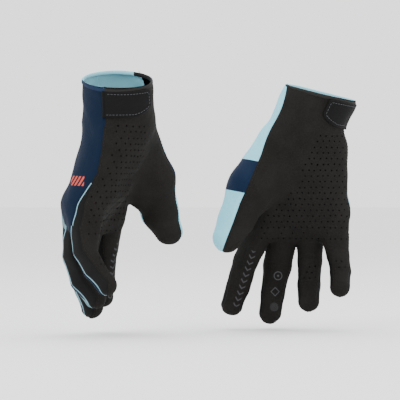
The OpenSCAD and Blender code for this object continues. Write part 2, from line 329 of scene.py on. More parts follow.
# ---- the skin of the glove as one mesh ----
def skin():
    """The closed surface of the glove, as points and triangles that face out."""
    coarse = MESH_STEP * 2
    low, high = np.array([-100, -52, -198.0]), np.array([66, 66, 62.0])
    count = np.ceil((high - low) / coarse).astype(int) + 1
    axes = [low[i] + coarse * np.arange(count[i]) for i in range(3)]
    grid = np.stack(np.meshgrid(*axes, indexing="ij"), axis=-1).reshape(-1, 3)
    d = glove_distance(grid).reshape(count)
    for axis in range(3):
        n = d.shape[axis]
        fine = np.repeat(d, 2, axis=axis)
        fine = np.take(fine, range(2 * n - 1), axis=axis)
        odd = [slice(None)] * 3
        odd[axis] = slice(1, None, 2)
        a = np.take(d, range(n - 1), axis=axis)
        b = np.take(d, range(1, n), axis=axis)
        fine[tuple(odd)] = (a + b) / 2
        d = fine
    volume = openvdb.FloatGrid()
    volume.background = 50.0
    volume.copyFromArray(d.astype(np.float32))
    points, quads = volume.convertToQuads(0.0)[:2]
    p = points.astype(float) * MESH_STEP + low
    quads = np.asarray(quads)
    p = settle(p, 2)
    for _ in range(4):
        total, number = np.zeros_like(p), np.zeros(len(p))
        for i in range(4):
            j = quads[:, (i + 1) % 4]
            np.add.at(total, quads[:, i], p[j])
            np.add.at(total, j, p[quads[:, i]])
            np.add.at(number, quads[:, i], 1)
            np.add.at(number, j, 1)
        p = lerp(p, total / number[:, None], 0.5)
        p = settle(p, 1)
    tri = np.concatenate([quads[:, [0, 1, 2]], quads[:, [0, 2, 3]]])
    a, b, c = (p[tri[:, i]] for i in range(3))
    facing = (np.cross(b - a, c - a) * gradient((a + b + c) / 3)).sum()
    return p, tri if facing > 0 else tri[:, ::-1]


def vent_points(p, normal, code):
    """Where the suede is punched, in staggered rows: on the palm, and on the ring and little fingers."""
    rows = []
    x, z = np.meshgrid(np.arange(-60, 60, VENT_PITCH), np.arange(-190, 10, VENT_PITCH), indexing="ij")
    x = x + VENT_PITCH / 2 * (np.round(z / VENT_PITCH) % 2)
    x, z = x.ravel(), z.ravel()
    thumb_edge = curve(z, (0, 12), (-20, 0), (-50, -8), (-70, -26), (-84, -42), (-104, -44))
    fields = (z < -1) & (z > -105) & (x > thumb_edge) & (x < 46)
    for f in (2, 3):
        a, b = MIDDLE_JOINT[f], END_JOINT[f]
        s = (z - a[2]) / (b[2] - a[2])
        fields |= (s > 0.12) & (s < 0.8) & (np.abs(x - lerp(a[0], b[0], s)) < 6)
    front = np.flatnonzero((code % 10 == FRONT) & (normal[:, 1] < -0.45))
    tree = kdtree.KDTree(len(front))
    for i, v in enumerate(front):
        tree.insert((p[v][0], 0, p[v][2]), i)
    tree.balance()
    for gx, gz in zip(x[fields], z[fields]):
        _, i, away = tree.find((gx, 0, gz))
        if away < 0.9:
            rows.append(front[i])
    return rows


def punch(p, tri, vents, code):
    """Opens a small many-sided hole at each vent, and gives the faces that close it behind, which take the dark
    lining's colour as painted shade inside the hole.
    """
    use = {}
    taken = set()
    plugs = []
    ring = {v: [] for v in vents}
    for i, t in enumerate(tri.tolist()):
        for v in t:
            if v in ring:
                ring[v].append(i)
    drop, extra_p, extra_t = set(), [], []
    for v, faces in ring.items():
        near = {w for i in faces for w in tri[i].tolist()}
        if near & taken or any(i in drop for i in faces) or len({int(code[w]) for w in near}) > 1:
            continue
        taken |= near
        for w in near - {v}:
            way = p[w] - p[v]
            use[(v, w)] = len(p) + len(extra_p)
            extra_p.append(p[v] + way * VENT_RADIUS / np.linalg.norm(way))
        for i in faces:
            t = tri[i].tolist()
            k = t.index(v)
            a, b = t[(k + 1) % 3], t[(k + 2) % 3]
            va, vb = use[(v, a)], use[(v, b)]
            extra_t += [[va, a, b], [va, b, vb]]
            plugs.append([v, va, vb])
            drop.add(i)
    keep = np.setdiff1d(np.arange(len(tri)), np.array(sorted(drop), int))
    tri = np.concatenate([tri[keep], np.array(extra_t)])
    return np.concatenate([p, np.array(extra_p)]), tri, np.array(plugs)


def cut_at(p, tri, code_of, rounds=11):
    """Cuts the triangles where the code changes, so that each seam is a smooth line."""
    code = code_of(p)
    edges = np.sort(np.concatenate([tri[:, [0, 1]], tri[:, [1, 2]], tri[:, [2, 0]]]), axis=1)
    edges = np.unique(edges, axis=0)
    edges = edges[code[edges[:, 0]] != code[edges[:, 1]]]
    a, b = p[edges[:, 0]], p[edges[:, 1]]
    lo, hi = np.zeros(len(edges)), np.ones(len(edges))
    for _ in range(rounds):
        mid = (lo + hi) / 2
        same = code_of(lerp(a, b, mid[:, None])) == code[edges[:, 0]]
        lo, hi = np.where(same, mid, lo), np.where(same, hi, mid)
    t = np.clip((lo + hi) / 2, 0.04, 0.96)
    new = {tuple(e): len(p) + i for i, e in enumerate(edges.tolist())}
    p2 = np.concatenate([p, lerp(a, b, t[:, None])])
    mixed = (code[tri] != code[tri[:, :1]]).any(axis=1)
    out, out_code, centres = [], [], []
    for face in tri[mixed].tolist():
        c = [code[v] for v in face]

        def at(i, j):
            return new[tuple(sorted((face[i], face[j])))]
        if len(set(c)) == 2:
            odd = next(i for i in range(3) if c.count(c[i]) == 1)
            j, k = (odd + 1) % 3, (odd + 2) % 3
            x, y = at(odd, j), at(odd, k)
            out += [[face[odd], x, y], [x, face[j], face[k]], [x, face[k], y]]
            out_code += [c[odd], c[j], c[j]]
        else:
            middle = len(p2) + len(centres)
            centres.append(p[face].mean(axis=0))
            for i in range(3):
                x, y = at(i, (i + 1) % 3), at(i, (i + 2) % 3)
                out += [[face[i], x, middle], [face[i], middle, y]]
                out_code += [c[i], c[i]]
    if centres:
        p2 = np.concatenate([p2, np.array(centres)])
    tri2 = np.concatenate([tri[~mixed], np.array(out)])
    return p2, tri2, np.concatenate([code[tri[~mixed][:, 0]], np.array(out_code)])


def above_rim(p):
    x, y, z = p.T
    top = CUFF_HEIGHT + RIM_SLOPE[0] * (x - CUFF_CENTRE[0]) + RIM_SLOPE[1] * (y - CUFF_CENTRE[1])
    return (z > top).astype(int)


def clip_above(p, tri):
    """Cuts the skin open at the rim of the cuff."""
    p, tri, code = cut_at(p, tri, above_rim, 16)
    return p, tri[code == 0]


def vertex_normals(p, tri):
    """The way out at each vertex, from the faces round it."""
    a, b, c = (p[tri[:, i]] for i in range(3))
    n = np.cross(b - a, c - a)
    total = np.zeros_like(p)
    for i in range(3):
        np.add.at(total, tri[:, i], n)
    return total / np.maximum(np.linalg.norm(total, axis=1), 1e-12)[:, None]


def seam_edges(tri, code, wanted):
    """Pairs of neighbouring vertices that two pieces share, where wanted(code, code) is true."""
    out, border = [], {}
    for t, c in zip(tri.tolist(), code.tolist()):
        for i in range(3):
            e = (t[i], t[(i + 1) % 3])
            other = border.get((e[1], e[0]))
            if other is None:
                border[e] = c
            elif other != c and wanted(min(c, other), max(c, other)):
                out.append(e)
    return out


def chains(edges):
    """Joins edges into lines of vertices."""
    near = {}
    for a, b in edges:
        near.setdefault(a, []).append(b)
        near.setdefault(b, []).append(a)
    left, lines = {frozenset(e) for e in edges}, []
    starts = [v for v in sorted(near) if len(near[v]) != 2] + sorted(near)
    for s in starts:
        while True:
            line = [s]
            while True:
                nxt = [w for w in near[line[-1]] if frozenset((line[-1], w)) in left]
                if not nxt:
                    break
                left.discard(frozenset((line[-1], nxt[0])))
                line.append(nxt[0])
                if len(near[line[-1]]) != 2:
                    break
            if len(line) < 2:
                break
            lines.append(line)
    return lines


def even_line(q, step=1.6, smoothing=6):
    """A smoothed copy of a line, with its points evenly spaced."""
    q = np.array(q, float)
    for _ in range(smoothing):
        q[1:-1] = lerp(q[1:-1], (q[:-2] + q[2:]) / 2, 0.6)
    s = np.concatenate([[0], np.cumsum(np.linalg.norm(np.diff(q, axis=0), axis=1))])
    n = max(2, int(s[-1] / step) + 1)
    t = np.linspace(0, s[-1], n)
    return np.stack([np.interp(t, s, q[:, i]) for i in range(3)], axis=1)


# ---- meshes ----
def put_in_scene(name, data):
    obj = bpy.data.objects.new(name, data)
    bpy.context.scene.collection.objects.link(obj)
    return obj


def new_piece(name, verts, faces, materials, normals=None):
    mesh = bpy.data.meshes.new(name)
    mesh.from_pydata((np.asarray(verts) * MM).tolist(), [], [list(f) for f in faces])
    mesh.validate()
    for m in materials:
        mesh.materials.append(m)
    mesh.polygons.foreach_set("use_smooth", [True] * len(mesh.polygons))
    if normals is not None:
        mesh.normals_split_custom_set_from_vertices(np.asarray(normals).tolist())
    return put_in_scene(name, mesh)


def right_place():
    return Matrix.Translation(RIGHT_RIM) @ Matrix.Translation(RIM_TO_ORIGIN)


def left_place():
    tilt = math.radians(LEFT_TILT)
    turn = Matrix.Rotation(tilt, 4, "Y") @ Matrix.Rotation(tilt, 4, "X")
    turn = turn @ Matrix.Rotation(math.radians(LEFT_TURN), 4, "Z") @ Matrix.Scale(-1, 4, (1, 0, 0))
    return turn @ Matrix.Translation(RIM_TO_ORIGIN)


PLACES = {"right": right_place(), "left": left_place()}


def placed(side, p):
    """Points of the glove, moved to one glove's place in the pair, in millimetres."""
    m = np.array(PLACES[side])
    return np.asarray(p, float) @ m[:3, :3].T + m[:3, 3] / MM


def facing(side, faces):
    return [list(f)[::-1] for f in faces] if side == "left" else [list(f) for f in faces]


def turned(side, n):
    return np.asarray(n, float) @ np.array(PLACES[side])[:3, :3].T


def pair_point(side, p):
    """One point of the glove at its place in the pair, in metres."""
    return tuple(placed(side, np.array([p]))[0] * MM)


def cloth_layer(p, tri, plug, normal):
    """A thin piece of cloth: its outside, its lining side, which also closes the vents behind and so puts the
    lining's colour as painted shade inside each hole, and its cut edge.
    """
    both = np.concatenate([tri, plug])
    used, back = np.unique(both, return_inverse=True)
    both = back.reshape(-1, 3)
    tri = both[:len(tri)]
    q, n = p[used], normal[used]
    count = len(q)
    verts = np.concatenate([q, q - n * CLOTH])
    border = {}
    for t in tri.tolist():
        for i in range(3):
            e = (t[i], t[(i + 1) % 3])
            if border.pop(e[::-1], None) is None:
                border[e] = True
    rim = [[b, a, a + count, b + count] for a, b in border]
    faces = tri.tolist() + [[c + count, b + count, a + count] for a, b, c in both.tolist()] + rim
    which = [0] * len(tri) + [1] * (len(both) + len(rim))
    return verts, faces, which, np.concatenate([n, -n])


def tube(line, normal, radius, sides=8, lift=0.0, flat=1.0):
    """A round cord along a line, with closed ends."""
    line = np.asarray(line, float)
    way = np.gradient(line, axis=0)
    way /= np.linalg.norm(way, axis=1)[:, None]
    n = normal - way * (normal * way).sum(axis=1)[:, None]
    n /= np.linalg.norm(n, axis=1)[:, None]
    s = np.cross(way, n)
    verts, faces = [], []
    for i, c in enumerate(line + n * lift):
        for k in range(sides):
            a = 2 * math.pi * k / sides
            verts.append(c + radius * (math.cos(a) * s[i] + flat * math.sin(a) * n[i]))
    for i in range(len(line) - 1):
        for k in range(sides):
            j = (k + 1) % sides
            faces.append([i * sides + k, i * sides + j, (i + 1) * sides + j, (i + 1) * sides + k])
    faces.append(list(range(sides))[::-1])
    faces.append([(len(line) - 1) * sides + k for k in range(sides)])
    return verts, faces


class Heap:
    """Gathers small parts, such as stitches, into one piece."""

    def __init__(self):
        self.verts, self.faces = [], []

    def add(self, verts, faces):
        start = len(self.verts)
        self.verts += [list(v) for v in verts]
        self.faces += [[i + start for i in f] for f in faces]


# ---- finishes ----
def set_socket(slot, v):
    if isinstance(v, Value):
        v.feed(slot)
    else:
        slot.default_value = v


class Value:
    """A socket that adds, multiplies and compares like a number."""

    tree = None

    def __init__(self, socket):
        self.socket = socket

    def feed(self, slot):
        Value.tree.links.new(self.socket, slot)

    @staticmethod
    def node(kind, settings=None, **inputs):
        """A new node. Its settings come first. A socket is named, or is i and its number."""
        n = Value.tree.nodes.new(kind)
        for key, v in (settings or {}).items():
            setattr(n, key, v)
        for key, v in inputs.items():
            numbered = key[0] == "i" and key[1:].isdigit()
            set_socket(n.inputs[int(key[1:]) if numbered else key.replace("_", " ")], v)
        return n

    def _op(self, kind, *values):
        n = Value.node("ShaderNodeMath", {"operation": kind}, **{f"i{i}": v for i, v in enumerate(values)})
        return Value(n.outputs[0])

    def __add__(self, b):
        return self._op("ADD", self, b)
    __radd__ = __add__

    def __sub__(self, b):
        return self._op("SUBTRACT", self, b)

    def __rsub__(self, b):
        return self._op("SUBTRACT", b, self)

    def __mul__(self, b):
        return self._op("MULTIPLY", self, b)
    __rmul__ = __mul__

    def __truediv__(self, b):
        return self._op("DIVIDE", self, b)

    def __gt__(self, b):
        return self._op("GREATER_THAN", self, b)

    def __lt__(self, b):
        return self._op("LESS_THAN", self, b)

    def sin(self):
        return self._op("SINE", self)

    def abs(self):
        return self._op("ABSOLUTE", self)

    def round(self):
        return self._op("ROUND", self)

    def root(self):
        return self._op("SQRT", self)

    def high(self, b):
        return self._op("MAXIMUM", self, b)

    def ramp(self, a, b):
        """0 below a, 1 above b, and smooth between."""
        smooth = {"interpolation_type": "SMOOTHSTEP"}
        return Value(Value.node("ShaderNodeMapRange", smooth, Value=self, From_Min=a, From_Max=b).outputs[0])


def colour(hex_text):
    """A screen colour as the shader's own numbers."""
    c = [int(hex_text[i:i + 2], 16) / 255 for i in (1, 3, 5)]
    return [v / 12.92 if v <= 0.04045 else ((v + 0.055) / 1.055) ** 2.4 for v in c] + [1]


def mix(a, b, factor):
    n = Value.node("ShaderNodeMix", {"data_type": "RGBA"}, i0=factor, i6=a, i7=b)
    return Value(n.outputs[2])


def local_place():
    """x, y, z on the glove in millimetres, the same for both gloves."""
    attribute = Value.node("ShaderNodeAttribute", {"attribute_name": "cloth_place"})
    n = Value.node("ShaderNodeSeparateXYZ", i0=Value(attribute.outputs["Vector"]))
    return Value(attribute.outputs["Vector"]), [Value(o) for o in n.outputs]


def noise(where, scale, detail=3):
    n = Value.node("ShaderNodeTexNoise", Vector=where, Scale=scale, Detail=detail)
    return Value(n.outputs[0])


def finish(name, draw):
    """A material from what draw gives: base, rough, height, and its depth, strength, shine and sheen."""
    m = bpy.data.materials.new(name)
    m.use_nodes = True
    Value.tree = m.node_tree
    shader = m.node_tree.nodes["Principled BSDF"].inputs
    where, place = local_place()
    made = draw(where, *place)
    set_socket(shader["Base Color"], made["base"])
    set_socket(shader["Roughness"], made["rough"])
    bump = Value.node("ShaderNodeBump", Height=made["height"], Distance=made["depth"],
                      Strength=made.get("strength", 0.6))
    set_socket(shader["Normal"], Value(bump.outputs[0]))
    shader["Specular IOR Level"].default_value = made.get("shine", 0.3)
    shader["Sheen Weight"].default_value = made.get("sheen", 0.0)
    shader["Sheen Roughness"].default_value = 0.45
    return m


def knit(x, y, z, pitch=0.9):
    """Fine ribs of a stretch knit."""
    k = 2 * math.pi / pitch
    return ((x + y) * k).sin() * 0.5 + (z * k + ((x + y) * k * 0.5).sin() * 0.8).sin() * 0.5


def printed_marks(x, z):
    """Grey prints on two fingertips: a column of slanted bars, and a ring, a diamond and a dotted disc."""
    along = (x + 50.5) * -0.3 + (z + 112) * -0.95
    across = (x + 50.5) * 0.95 + (z + 112) * -0.3
    column = ((across - 1).abs() < 3.2) * (along > 5) * (along < 64)
    marks = bars(along, (across - 1).abs(), 0.9, 6.4, 0.13) * column
    for kind, (cx, cz) in enumerate(((-26, -142.5), (-29, -158.5), (-30, -174))):
        u, v = x - cx, z - cz
        r = (u * u + v * v).root()
        diamond = u.abs() + v.abs()
        if kind == 0:
            new = ((r - 4).abs() < 0.5).high(r < 1.1)
        elif kind == 1:
            new = (diamond - 4.2).abs() < 0.6
        else:
            new = (r < 4.4) * (((u * 3.2).sin() * (v * 3.2).sin()).abs() > 0.5)
        marks = marks.high(new)
    return marks


def suede_finish(where, x, y, z):
    grain = noise(where, 0.9, 6)
    blotch = noise(where, 0.05, 2)
    shade = (grain * 0.7 + blotch * 0.3).ramp(0.3, 0.7)
    base = mix(colour("#0f0e0d"), colour("#1c1a18"), shade)
    base = mix(base, colour("#3a3b3d"), printed_marks(x, z))
    return dict(base=base, rough=0.86 + grain * 0.1, height=grain + noise(where, 2.6, 3) * 0.6,
                depth=0.00035, shine=0.14)


def bars(u, v, slant, pitch, width):
    """Slanted bars: 1 on each bar."""
    w = (u + v * slant) / pitch
    return (w - w.round()).abs() < width


def print_on_back(where, x, y, z):
    """Navy at the little finger side, grey halftone over the back, and pale shapes at the knuckles."""
    drift = noise(where, 0.05, 2) - 0.5
    across = x + drift * 26 + (z + 40) * 0.14
    halftone = ((x * 4.2).sin() * (z * 4.2 + y * 1.4).sin() + 1) * 0.5
    fade = across.ramp(-36, 26)
    grey = (halftone + 0.15 > fade * 1.2)
    base = mix(colour("#001228"), colour("#312f36"), grey * (1 - fade.ramp(0.82, 0.98)))
    low = (z * -1 + drift * 30).ramp(72, 96)
    shapes = bars(x, z, 0.55, 17, 0.26) * low * (x * -1 + 24).ramp(0, 4)
    base = mix(base, colour("#6f949c"), shapes * (0.55 + halftone * 0.4))
    box = (z < -51) * (z > -60) * (x > 12)
    coral = bars(y, z, 0.6, 4.4, 0.28) * box * (y > 17) * (y < 34)
    base = mix(base, colour("#b84a3a"), coral)
    return base


def back_finish(where, x, y, z):
    weave = knit(x, y, z)
    fleck = noise(where, 0.7, 4)
    base = mix(print_on_back(where, x, y, z), colour("#040c14"), (fleck - 0.45).high(0) * 0.8)
    return dict(base=base, rough=0.74 + fleck * 0.12, height=weave, depth=0.00022, strength=0.4, shine=0.14)


def side_finish(where, x, y, z):
    """Pale blue, with a navy band round the root of the thumb."""
    weave = knit(x, y, z)
    fleck = noise(where, 0.5, 4)
    edge = z + (x + 50) * 0.2
    band = (edge < -27) * (edge > -61)
    pale = mix(colour("#74c0d4"), colour("#8fd0e0"), fleck)
    base = mix(pale, mix(colour("#001228"), colour("#001a36"), fleck), band)
    return dict(base=base, rough=0.72 + fleck * 0.1, height=weave, depth=0.00022, strength=0.4, shine=0.16)


def stretch_finish(where, x, y, z):
    fleck = noise(where, 1.1, 4)
    base = mix(colour("#050506"), colour("#0c0c0d"), fleck)
    return dict(base=base, rough=0.62 + fleck * 0.14, height=knit(x, y, z, 0.7), depth=0.0002, strength=0.45,
                shine=0.14)


def neoprene_finish(where, x, y, z):
    fleck = noise(where, 1.4, 5)
    base = mix(colour("#070708"), colour("#0f0f10"), fleck)
    return dict(base=base, rough=0.8 + fleck * 0.12, height=fleck + knit(x, y, z, 1.1) * 0.3, depth=0.0003,
                shine=0.14)


def plain(text, rough=0.75, spread=0.12, shine=0.25):
    def draw(where, x, y, z):
        fleck = noise(where, 1.2, 4)
        c = colour(text)
        dark = [v * (1 - 2 * spread) for v in c[:3]] + [1]
        return dict(base=mix(dark, c, fleck), rough=rough + fleck * 0.1, height=fleck, depth=0.0002,
                    shine=shine)
    return draw


def loop_finish(where, x, y, z):
    fluff = noise(where, 2.8, 6)
    return dict(base=mix(colour("#070708"), colour("#131314"), fluff), rough=0.92, height=fluff, depth=0.0006,
                strength=0.9, sheen=0.05)


SUEDE = finish("perforated suede", suede_finish)
BACK_CLOTH = finish("printed back cloth", back_finish)
SIDE_CLOTH = finish("pale blue thumb cloth", side_finish)
STRETCH = finish("black stretch knit", stretch_finish)
NEOPRENE = finish("charcoal neoprene", neoprene_finish)
# Near-black lining side of the palm and gusset cloth, which behind each vent also stands as painted shade for
# the dark inside of the glove
BLACK_LINING_AND_VENT_SHADE = finish("black lining and painted vent shade", plain("#020202", 0.9, 0.1, 0.03))
LINING_PALE = finish("pale blue lining", plain("#86c6d6", 0.85, 0.06))


def hem_lining(where, x, y, z):
    """The lining side of the folded edge: black on the palm and pale blue on the back."""
    fleck = noise(where, 1.2, 4)
    palm = (y + 3.1 - (x - 54.6) * 0.055) < 0
    base = mix(mix(colour("#7dbfd0"), colour("#86c6d6"), fleck), colour("#070708"), palm)
    return dict(base=base, rough=0.82, height=fleck, depth=0.0002)


def hem_finish(where, x, y, z):
    """The folded edge of each panel: black on the palm, navy and pale blue on the back."""
    fleck = noise(where, 1.2, 4)
    palm = (y + 3.1 - (x - 54.6) * 0.055) < 0
    back = mix(colour("#001a36"), colour("#80c8da"), x < -3.6)
    return dict(base=mix(back, colour("#131211"), palm), rough=0.78 + fleck * 0.1, height=fleck, depth=0.0002)


HEM_CLOTH = finish("folded hem", hem_finish)
HEM_LINING = finish("folded hem lining", hem_lining)
PIPING = finish("grey blue piping", plain("#7fa9b6", 0.6))
THREAD_GREY = finish("grey thread", plain("#55575a", 0.6))
THREAD_BLACK = finish("black thread", plain("#0c0c0b", 0.6))
LOOP_PILE = finish("loop pile", loop_finish)
HOOK_TAPE = finish("hook tape", plain("#0c0c0d", 0.55))


def mark_place(obj, places):
    """Stores where each vertex lies on the glove, which the finishes read."""
    a = obj.data.attributes.new("cloth_place", "FLOAT_VECTOR", "POINT")
    a.data.foreach_set("vector", np.asarray(places, np.float32).ravel())


def add_piece(side, name, verts, faces, materials, which=None, normals=None):
    """One piece of one glove. Where it has two materials, which says the one of each face."""
    n = None if normals is None else turned(side, normals)
    obj = new_piece(f"{side}_{name}", placed(side, verts), facing(side, faces), materials, n)
    if which is not None and len(which) == len(obj.data.polygons):
        obj.data.polygons.foreach_set("material_index", which)
    mark_place(obj, verts)
    return obj


# ---- build the skin once, and place it twice ----
points, triangles = skin()
points, triangles = clip_above(points, triangles)
codes = piece_code(points)
normals = vertex_normals(points, triangles)
vents = vent_points(points, normals, codes)
points, triangles, plugs = punch(points, triangles, vents, codes)
plug_codes = piece_code(points[plugs[:, 0]])
points, triangles, codes = cut_at(points, triangles, piece_code)


def pucker(p, tri, code):
    """The cloth dips at each seam and stands a little proud beside it."""
    seams = seam_edges(tri, code, lambda a, b: a // 10 == b // 10)
    on_seam = sorted({v for e in seams for v in e})
    tree = kdtree.KDTree(len(on_seam))
    for i, v in enumerate(on_seam):
        tree.insert(p[v], i)
    tree.balance()
    away = np.array([tree.find(q)[2] for q in p])
    return -0.6 * bump(away, 1.0) + 0.28 * bump(away - 3.4, 2.0)


def bump(s, width):
    return np.exp(-(s / width) ** 2)


def creases(p):
    """Shallow folds across each finger's palm side at its joints."""
    fold = np.zeros(len(p))
    for joints in (MIDDLE_JOINT, END_JOINT):
        for f in range(4):
            d = unit(np.array(FINGER_TIP[f][:3]) - np.array(MIDDLE_JOINT[f][:3]))
            q = p - np.array(joints[f][:3])
            near = np.linalg.norm(q, axis=1) < 17
            s = q @ d
            inner = np.clip(-q[:, 1] / 10, 0, 1)
            wave = bump(s - 0.8, 0.9) + 0.6 * bump(s + 3.1, 0.8) + 0.5 * bump(s - 4.4, 0.8)
            fold -= np.where(near, 0.6 * wave * inner, 0)
    return fold


normals = vertex_normals(points, triangles)
points = points + normals * (pucker(points, triangles, codes) + creases(points))[:, None]
normals = vertex_normals(points, triangles)

PANEL_NAMES = {FRONT: "palm_panel", BACK: "back_panel", GUSSET: "side_gussets", SIDE: "thumb_panel"}
PANEL_FINISH = {FRONT: (SUEDE, BLACK_LINING_AND_VENT_SHADE), BACK: (BACK_CLOTH, LINING_PALE),
                GUSSET: (STRETCH, BLACK_LINING_AND_VENT_SHADE), SIDE: (SIDE_CLOTH, LINING_PALE)}


def bend_line(side, limb):
    """Where a finger's cloth starts and stops turning with it."""
    if limb == THUMB_END:
        joint, before, after = THUMB[2], THUMB[1], THUMB[3]
    else:
        joint, before, after = MIDDLE_JOINT[limb - 1], KNUCKLE[limb - 1], END_JOINT[limb - 1]
    joint, before, after = (np.array(v[:3], float) for v in (joint, before, after))
    d = unit(joint - before) + unit(after - joint)
    d /= np.linalg.norm(d)
    return pair_point(side, joint - d * BEND_REACH), pair_point(side, joint + d * BEND_REACH)


def limb_name(limb):
    return {HAND: "hand", THUMB_END: "thumb"}.get(limb) or FINGERS[limb - 1]


def panel_name(limb, panel):
    if limb == HAND:
        return PANEL_NAMES[panel]
    if limb == THUMB_END:
        return "thumb_front" if panel == FRONT else "thumb_back"
    return f"{limb_name(limb)}_" + {FRONT: "front", BACK: "back", GUSSET: "gussets"}[panel]


def attach(obj, side, limb):
    """Ties a piece of the hand to the hand's body; a piece of a finger or the thumb is only fixed where it
    lies.
    """
    if limb == HAND:
        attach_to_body(obj, f"{side}_hand")
    else:
        start, end = bend_line(side, limb)
        f"{side}_{limb_name(limb)}"
        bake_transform(obj)


def piping_lines():
    """The lines of piping on each limb, between the back and the gussets."""
    piped = seam_edges(triangles, codes,
                       lambda a, b: a // 10 == b // 10 and {a % 10, b % 10} == {BACK, GUSSET})
    limb_at = {v: c // 10 for t, c in zip(triangles.tolist(), codes.tolist()) for v in t}
    lines = {}
    for line in chains(piped):
        if len(line) >= 8:
            limb = limb_at[line[len(line) // 2]]
            lines.setdefault(limb, []).append(even_line(points[line], 1.6, 60))
    return lines


piping = piping_lines()
panels = {}
for side in ("right", "left"):
    for code in np.unique(codes):
        limb, panel = divmod(int(code), 10)
        part = triangles[codes == code]
        if len(part) < 60:
            continue
        verts, faces, which, piece_normals = cloth_layer(points, part, plugs[plug_codes == code], normals)
        obj = add_piece(side, panel_name(limb, panel), verts, faces, PANEL_FINISH[panel], which, piece_normals)
        attach(obj, side, limb)
        panels[(side, limb, panel)] = obj
    for limb, lines in piping.items():
        heap = Heap()
        for q in lines:
            heap.add(*tube(q, gradient(q), PIPING_RADIUS, lift=0.3))
        obj = add_piece(side, f"{limb_name(limb)}_piping", heap.verts, heap.faces, [PIPING])
        attach(obj, side, limb)


# ---- cuff: folded hem, strap, patches and stitching ----
def on_cuff(angle, level, off):
    """A point off the cuff's surface. Level is the height the point would have on a level rim."""
    a = np.radians(np.asarray(angle, float))
    level = np.asarray(level, float)
    k = np.clip(level / RIM_LEVEL, 0, 1)
    cx, cy = CUFF_CENTRE[0] * k, CUFF_CENTRE[1] * k
    z = level.copy() if level.ndim else np.full(a.shape, float(level))
    hx, hy = lerp(35, 37, k), lerp(33.5, 33, k)
    r = hx * hy / np.hypot(hy * np.cos(a), hx * np.sin(a))
    z = z + k * r * (RIM_SLOPE[0] * np.cos(a) + RIM_SLOPE[1] * np.sin(a))
    p = np.stack([cx + r * np.cos(a), cy + r * np.sin(a), z], axis=-1)
    flat = p.reshape(-1, 3)
    out = gradient(flat)
    out[:, 2] = 0
    out /= np.linalg.norm(out, axis=1)[:, None]
    for _ in range(4):
        flat = flat - out * glove_distance(flat)[:, None]
    off = np.broadcast_to(np.asarray(off, float), p.shape[:-1]).reshape(-1, 1)
    return (flat + out * off).reshape(p.shape), out.reshape(p.shape)


def grid_faces(n, m, start=0, close=False):
    out = []
    for i in range(n - 1):
        for j in range(m if close else m - 1):
            k = (j + 1) % m
            out.append([start + i * m + j, start + i * m + k, start + (i + 1) * m + k, start + (i + 1) * m + j])
    return out


# Round the folded edge from outside to inside: the rise above the rim, and how far off the cloth
HEM_PROFILE = [(-3.4, 0.15), (-3.0, 0.55), (-1.6, 0.62), (-0.2, 0.5), (0.35, 0.0),
               (0.4, -0.9), (-0.1, -1.35), (-1.8, -1.5), (-3.2, -1.35), (-3.4, -1.0)]


def cuff_hem():
    angles = np.arange(0, 360, 3.0)
    rows = []
    for rise, off in HEM_PROFILE:
        p, _ = on_cuff(angles, RIM_LEVEL, off + 0.05 * np.sin(np.radians(angles * 24)))
        p[:, 2] += rise
        rows.append(p)
    rows.append(rows[0])
    faces = [f[::-1] for f in grid_faces(len(rows), len(angles), 0, True)]
    inside = [0 if i < 4 else 1 for i in range(len(rows) - 1) for _ in angles]
    return np.concatenate(rows), faces, inside


# The strap's lower and upper edges, and how far it stands off the cuff, by the angle round the wrist
def strap_low(a):
    return np.interp(a, [-78, -75.5, -66, -57, -45, 0, 3], [21, 18.6, 14.2, 11, 8, 6.5, 6.5])


def strap_high(a):
    return np.interp(a, [-78, -76, 3], [36.4, 37.6, 37.8])


def strap_lift(a):
    return np.interp(a, [-78, -36, -22, -4, 3], [1.9, 1.8, 1.1, 0.5, 0.35])


def strap_grid(angles, rows, inset, low, high):
    """A curved plate on the cuff with rounded edges, from strap_low to strap_high."""
    levels = [lerp(strap_low(angles) + inset, strap_high(angles) - inset, i / rows) for i in range(rows + 1)]
    outer = np.stack([on_cuff(angles, level, high(angles))[0] for level in levels])
    inner = np.stack([on_cuff(angles, level, low(angles))[0] for level in levels])
    n, m = rows + 1, len(angles)
    edge = np.full((n, m), 0.45)
    edge[1:-1, 1:-1] = 1
    outer = lerp(inner, outer, (0.5 + 0.5 * edge)[..., None])
    verts = np.concatenate([outer.reshape(-1, 3), inner.reshape(-1, 3)])
    faces = grid_faces(n, m)
    faces += [[q + n * m for q in f][::-1] for f in grid_faces(n, m)]
    border = list(range(m)) + [i * m + m - 1 for i in range(1, n)]
    border += [(n - 1) * m + j for j in range(m - 2, -1, -1)] + [i * m for i in range(n - 2, 0, -1)]
    for i, b in enumerate(border):
        c = border[(i + 1) % len(border)]
        faces.append([c, b, b + n * m, c + n * m])
    return verts, faces


def strap_top(a):
    return strap_lift(a) + STRAP_THICKNESS


def strap_tab():
    angles = np.concatenate([[-78, -77.7, -77, -76], np.arange(-74.5, 1, 1.5), [1.5, 2.6, 3]])
    return strap_grid(angles, 26, 0, strap_lift, strap_top)


def stitches(line, normal, length=2.3, gap=1.1, radius=0.26, lift=0.05):
    """A row of short threads along a line, each dipping into the cloth at its ends."""
    s = np.concatenate([[0], np.cumsum(np.linalg.norm(np.diff(line, axis=0), axis=1))])

    def at(t, values):
        return np.stack([np.interp(t, s, values[:, i]) for i in range(3)], axis=-1)
    heap = Heap()
    t = gap
    while t + length < s[-1]:
        u = np.linspace(t, t + length, 5)
        n = at(u, normal)
        dip = np.array([-0.3, 0.08, 0.16, 0.08, -0.3])[:, None]
        heap.add(*tube(at(u, line) + n * (dip + lift), n, radius, 5))
        t += length + gap
    return heap


def strap_binding():
    """The bound edge by which the strap is sewn to the cuff, round its hinge."""
    level = np.linspace(6.2, 38.0, 28)
    p, n = on_cuff(np.full(len(level), 2.2), level, 1.35)
    return tube(p, n, 1.35, 12)


